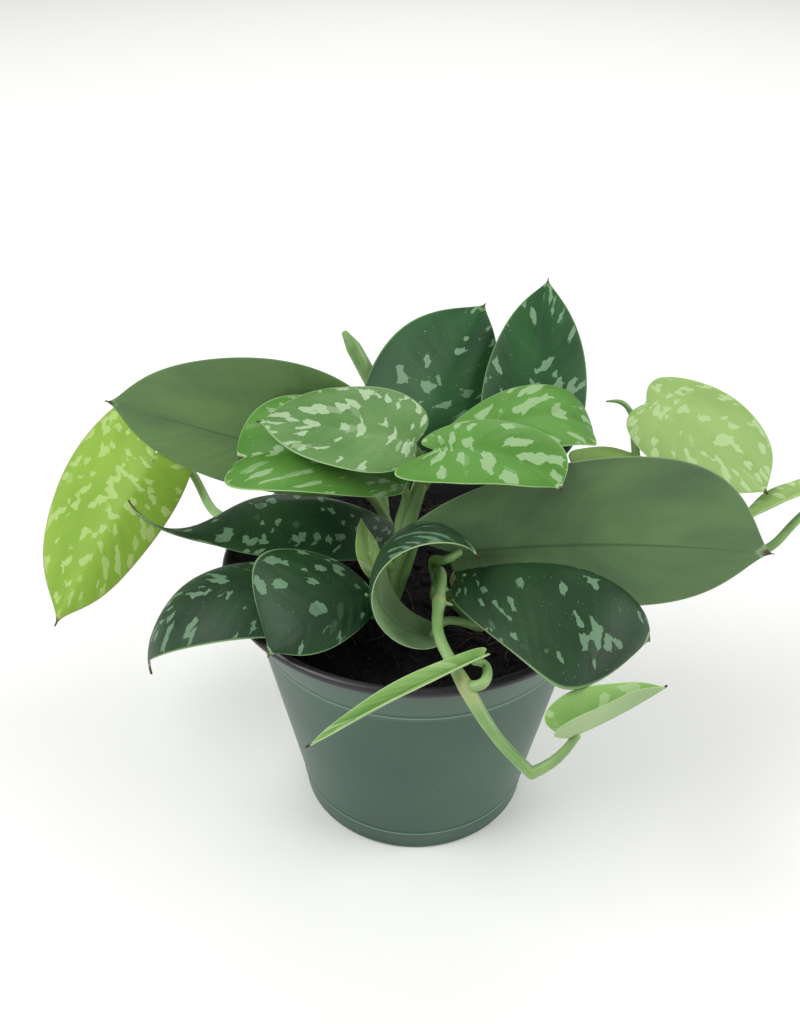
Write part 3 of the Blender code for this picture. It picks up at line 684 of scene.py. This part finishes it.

# Routes, each with the radii along it and the blade that it runs on to, if any
VINES = {
    "vine_main": [
        ([(-7, -15, SOIL_TOP - 2), (-7, -13, 92), (-5, -10, 98), (-2, -6, 107), (1, -2, 114)],
         (2.6, 2.4, 2.9, 2.4, 1.8), None),
        ([(1, -2, 113)], (1.8, 1.1), "leaf_top_left"),
        ([(1, -2, 112), (3, -4, 119)], (1.8, 1.1), "leaf_top_right"),
        ([(1, -2, 113), (6, 1, 116)], (1.7, 1.1), "leaf_second_right"),
        ([(-5, -10, 98), (-5, -8, 105)], (1.8, 1.1), "leaf_second_left"),
        ([(-5, -10, 97), (-3, 2, 98), (-1, 10, 102)], (1.8, 1.2), "leaf_back_tall_left"),
        ([(-7, -14, 82), (-3, -8, 90), (0, -3, 96), (3, -1, 101)], (2.2, 1.7, 1.4, 0.7), None),
        ([(-7, -14, 87)], (1.4, 0.9), "leaf_young"),
        ([(-7, -14, 91), (-8, -15, 95), (-9, -14, 101)], (1.3, 0.9, 0.3), None),
        ([(-7, -15, 79), (-8, -20, 85)], (1.8, 1.2), "leaf_front_left"),
        ([(-7, -15, 78), (-15, -19, 80)], (1.8, 1.2), "leaf_lower_left"),
    ],
    "vine_left": [
        ([(-8, 4, SOIL_TOP - 2), (-8, 4, 79), (-12, 9, 82), (-35, 11, 84), (-52, 13, 88.2),
          (-60, 18, 87.5), (-66, 27, 88), (-72, 34, 95)], (2.2, 1.1), "leaf_far_left"),
        ([(-8, 4, 79), (-8, 15, 84), (-13, 19, 93)], (1.8, 1.1), "leaf_back_left"),
        ([(-8, 4, 79), (-3, 2, 84)], (1.8, 1.2), "leaf_left_curled"),
        ([(-10, 7, 81), (-10, 20, 88), (-12, 34, 100), (-12, 42, 114), (-16, 46, 123), (-20, 49, 129.5),
          (-22.5, 51, 133)],
         (1.6, 1.6, 1.8, 2.2, 2.5, 2.4, 1.1), None),
    ],
    "vine_right": [
        ([(12, -1, SOIL_TOP - 2), (12, -1, 79), (18, 3, 82), (33, 9, 84), (50, 14, 88.5), (61, 15, 90),
          (86, 13, 84), (106, 10, 83), (114, 14, 90)], (2.2, 1.2), "leaf_far_right"),
        ([(18, 3, 82), (27, 10, 95)], (1.9, 1.2), "leaf_back_tall_right"),
        ([(33, 9, 84), (40, 11, 96)], (1.6, 1.1), "leaf_behind_lime"),
        ([(61, 15, 90), (66, 26, 105)], (1.6, 1.1), "leaf_right_light"),
        ([(65, 24, 103), (66, 33, 112), (62, 36, 118), (57, 35, 119)], (1.1, 1.0, 0.8, 0.3), None),
    ],
    "vine_front": [
        ([(5.5, -7, SOIL_TOP - 2), (5.5, -8, 81), (5.5, -11, 88), (5.5, -17, 94), (6, -26, 99),
          (5.3, -35.5, 100.3), (5, -38, 100), (4.7, -40.5, 99.3), (4.5, -46, 97.6), (8, -56, 95),
          (11, -62, 93), (18, -70, 85), (27, -75, 77)],
         (2.0, 1.6, 1.4, 1.4, 1.4, 1.4, 1.9, 1.5, 1.4, 1.5, 2.0, 1.5, 1.5), None),
        ([(5, -38, 100), (8.3, -38.6, 99.4)], (1.0, 0.3), None),
        ([(5.4, -9.6, 84.5), (4.2, -14, 95)], (1.5, 1.1), "leaf_big_right"),
        ([(11, -62, 93), (15, -63, 95)], (1.5, 1.0), "leaf_front_narrow"),
        ([(27, -75, 77), (31, -74, 79)], (1.5, 1.0), "leaf_front_small"),
        ([(5.5, -9, 84), (12, -22, 84), (16, -34, 88)], (1.5, 1.1), "leaf_rolled"),
        ([(5.5, -9, 82), (5, -18, 85)], (1.5, 1.2), "leaf_right_dark"),
    ],
}


def smooth_route(points, radii):
    """natural cubic through the points, sampled every STEM_SPACING, with the radius at each sample"""
    points = np.array(points, float)
    at = np.r_[0, np.cumsum(np.linalg.norm(np.diff(points, axis=0), axis=1))]
    count = len(points)
    gap = np.diff(at)
    system = np.eye(count)
    load = np.zeros((count, 3))
    for i in range(1, count - 1):
        system[i, i - 1:i + 2] = gap[i - 1], 2 * (gap[i - 1] + gap[i]), gap[i]
        load[i] = 6 * ((points[i + 1] - points[i]) / gap[i] - (points[i] - points[i - 1]) / gap[i - 1])
    pull = np.linalg.solve(system, load)
    where = np.linspace(0, at[-1], max(8, round(at[-1] / STEM_SPACING) + 1))
    i = np.clip(np.searchsorted(at, where, side="right") - 1, 0, count - 2)
    before = (at[i + 1] - where)[:, None]
    after = (where - at[i])[:, None]
    width = gap[i][:, None]
    route = (pull[i] * before ** 3 + pull[i + 1] * after ** 3) / (6 * width)
    route = route + (points[i] / width - pull[i] * width / 6) * before
    route = route + (points[i + 1] / width - pull[i + 1] * width / 6) * after
    return route, np.interp(where, at if len(radii) == count else at[[0, -1]], radii)


def stem_skin(points, radii):
    """Rings round the route, carried along it without twist, with round ends, and how far each ring
    swells over the stem's middling radius, from 0 to 1."""
    route, radius = smooth_route(points, radii)
    along = unit(np.gradient(route, axis=0))
    side = unit(np.cross(along[0], (0.3, 0.5, 0.8)))
    sides = []
    for forward in along:
        side = unit(side - forward * (side @ forward))
        sides.append(side)
    sides = np.array(sides)
    other = np.cross(along, sides)
    angle = np.linspace(0, 2 * pi, STEM_SIDES, endpoint=False)
    ring = sides[:, None] * np.cos(angle)[:, None] + other[:, None] * np.sin(angle)[:, None]
    body = route[:, None] + ring * radius[:, None, None]
    cap = np.linspace(0, pi / 2, 6)[1:, None, None]
    first = route[0] - along[0] * np.sin(cap) * radius[0] + ring[0] * np.cos(cap) * radius[0]
    last = route[-1] + along[-1] * np.sin(cap) * radius[-1] + ring[-1] * np.cos(cap) * radius[-1]
    size = np.concatenate([radius[:1].repeat(len(cap)), radius, radius[-1:].repeat(len(cap))])
    swelling = np.clip((size / np.median(size) - 1.15) * 5, 0, 1)
    return np.concatenate([first[::-1], body, last]), swelling


def seat(leaf, radius):
    """the petiole's last points, which end in the blade's underside"""
    places, tangents, normals = rib(leaf)
    along, up = tangents[0], normals[0]
    rise = radians(SEAT_ANGLE)
    inward = along * cos(rise) + up * sin(rise)
    clear = HALF_BLADE + GAP + radius * cos(rise)
    end = places[0] + along * SEAT_AHEAD - up * clear
    return [end - inward * SEAT_RUN, end + inward * (clear - radius * 0.6)]


def stem_green():
    """stem skin: pale green, a little yellower at the nodes, faint lengthwise streaks"""
    made, tree, shader = fresh_material("smooth green stem")
    place = add(tree, "ShaderNodeTexCoord", gives="Object")
    grain = add(tree, "ShaderNodeAttribute", {"attribute_name": "grain"}, "Vector")
    swelling = add(tree, "ShaderNodeSeparateXYZ", gives="Z", Vector=grain)
    cloud = add(tree, "ShaderNodeTexNoise", Vector=place, Scale=90.0, Detail=2.0)
    green = add(tree, "ShaderNodeValToRGB", Fac=cloud,
                stops=[(0.35, linear("#6a9150")), (0.65, linear("#88aa69"))])
    laid = add(tree, "ShaderNodeMapping", Vector=grain, Scale=(5.0, 0.12, 0.0))
    streak = add(tree, "ShaderNodeTexNoise", Vector=laid, Scale=1.0, Detail=3.0)
    faint = add(tree, "ShaderNodeMapRange", SOFT, Value=streak, From_Min=0.4, From_Max=0.7, To_Max=0.3)
    green = add(tree, "ShaderNodeMix", BLEND, 2, i0=faint, i6=green, i7=linear("#9fbb84"))
    green = add(tree, "ShaderNodeMix", BLEND, 2, i0=swelling, i6=green, i7=linear("#a9ab74"))
    tree.links.new(green, shader.inputs["Base Color"])
    shader.inputs["Roughness"].default_value = 0.4
    shader.inputs["IOR"].default_value = 1.45
    return made


def vine_solid(name, routes, skin):
    """one mesh from a vine's stem and petioles, each sunk into the stem it grows from"""
    by_name = {leaf.name: leaf for leaf in LEAVES}
    points, faces, grains, start = [], [], [], 0
    for number, (route, radii, end) in enumerate(routes):
        if end:
            route = route + seat(by_name[end], radii[-1])
        rings, swelling = stem_skin(route, radii)
        rows = len(rings)
        node = np.repeat(swelling * (number == 0), STEM_SIDES)
        faces.append(sheet_faces(rows, STEM_SIDES, start, wrap=True))
        start += rows * STEM_SIDES
        points.append(rings.reshape(-1, 3))
        # The way round the stem and the way down it, both in about millimetres
        turn = np.tile(np.arange(STEM_SIDES) / STEM_SIDES * 6.0, rows)
        down = np.repeat(np.arange(rows) * STEM_SPACING, STEM_SIDES)
        grains.append(np.stack([turn, down, node], -1))
    return solid(name, np.concatenate(points), np.concatenate(faces), [skin], None, np.concatenate(grains))


stem_finish = stem_green()
for vine_name, vine_routes in VINES.items():
    vine = vine_solid(vine_name + "_stems", vine_routes, stem_finish)
    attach(vine, "root")
    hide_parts(vine_name)


# A plain pale floor under a plain pale sky, one broad soft lamp above the left shoulder and two
# weaker ones to fill. The camera looks down at the rim from a little above, as in the photo.
FLOOR_HALF = 3.0
LOOKS_DOWN = 34.3
LEANS = 0.47
FOCAL_SHARE = 1100 / 1024
SENSOR = 36
# The rim's middle as the camera sees it: along the view, to the right of it and under it
RIM_AHEAD = 322.05
RIM_RIGHT = 5.13
RIM_UNDER = 13.11


def studio_floor():
    """square sheet of pale paper at the height of the pot's base"""
    corners = [(x * FLOOR_HALF, y * FLOOR_HALF, 0) for x, y in ((-1, -1), (1, -1), (1, 1), (-1, 1))]
    mesh = bpy.data.meshes.new("floor")
    mesh.from_pydata(corners, [], [(0, 1, 2, 3)])
    mesh.materials.append(plain_finish("pale paper", "#f6f6f4", 0.9))
    floor = bpy.data.objects.new("floor", mesh)
    bpy.context.scene.collection.objects.link(floor)


def soft_lamp(name, place, aim, size, power):
    """round area lamp at place, turned to shine at aim"""
    lamp = bpy.data.lights.new(name, "AREA")
    lamp.shape = "DISK"
    lamp.size = size
    lamp.energy = power
    obj = bpy.data.objects.new(name, lamp)
    bpy.context.scene.collection.objects.link(obj)
    back = unit(np.array(place, float) - np.array(aim, float))
    side = unit(np.cross((0, 0, 1), back))
    axes = np.stack([side, np.cross(back, side), back], 1)
    obj.matrix_world = Matrix.Translation(place) @ Matrix(axes.tolist()).to_4x4()


def sky(strength):
    """even white light from all sides"""
    world = bpy.data.worlds.new("studio sky")
    world.use_nodes = True
    shade = world.node_tree.nodes["Background"]
    shade.inputs["Color"].default_value = linear("#ffffff")
    shade.inputs["Strength"].default_value = strength
    bpy.context.scene.world = world


def photo_camera():
    """Looks down and leans by the angles above, in degrees, at a place given from the rim's middle.
    The focal length is a share of the picture's height."""
    down, roll = radians(LOOKS_DOWN), radians(LEANS)
    ahead = np.array([0, cos(down), -sin(down)])
    level, rise = np.array([1.0, 0, 0]), np.array([0, sin(down), cos(down)])
    right = level * cos(roll) + rise * sin(roll)
    up = rise * cos(roll) - level * sin(roll)
    place = np.array([0, 0, POT_HEIGHT]) - ahead * RIM_AHEAD - right * RIM_RIGHT + up * RIM_UNDER
    data = bpy.data.cameras.new("photo camera")
    data.sensor_fit = "VERTICAL"
    data.sensor_height = SENSOR
    data.lens = SENSOR * FOCAL_SHARE
    data.clip_start = 0.01
    obj = bpy.data.objects.new("photo camera", data)
    bpy.context.scene.collection.objects.link(obj)
    axes = np.stack([right, up, -ahead], 1)
    obj.matrix_world = Matrix.Translation(place * MM) @ Matrix(axes.tolist()).to_4x4()
    bpy.context.scene.camera = obj


studio_floor()
soft_lamp("key lamp", (-1.1, -0.3, 1.2), (0, 0, 0.08), 1.2, 17)
soft_lamp("fill lamp", (1.3, -0.2, 0.9), (0, 0, 0.05), 1.2, 13)
soft_lamp("back lamp", (0.1, 1.3, 1.2), (0, 0, 0.1), 1.2, 6)
sky(0.5)
bpy.context.scene.view_settings.view_transform = "Standard"
bpy.context.scene.view_settings.look = "None"
photo_camera()
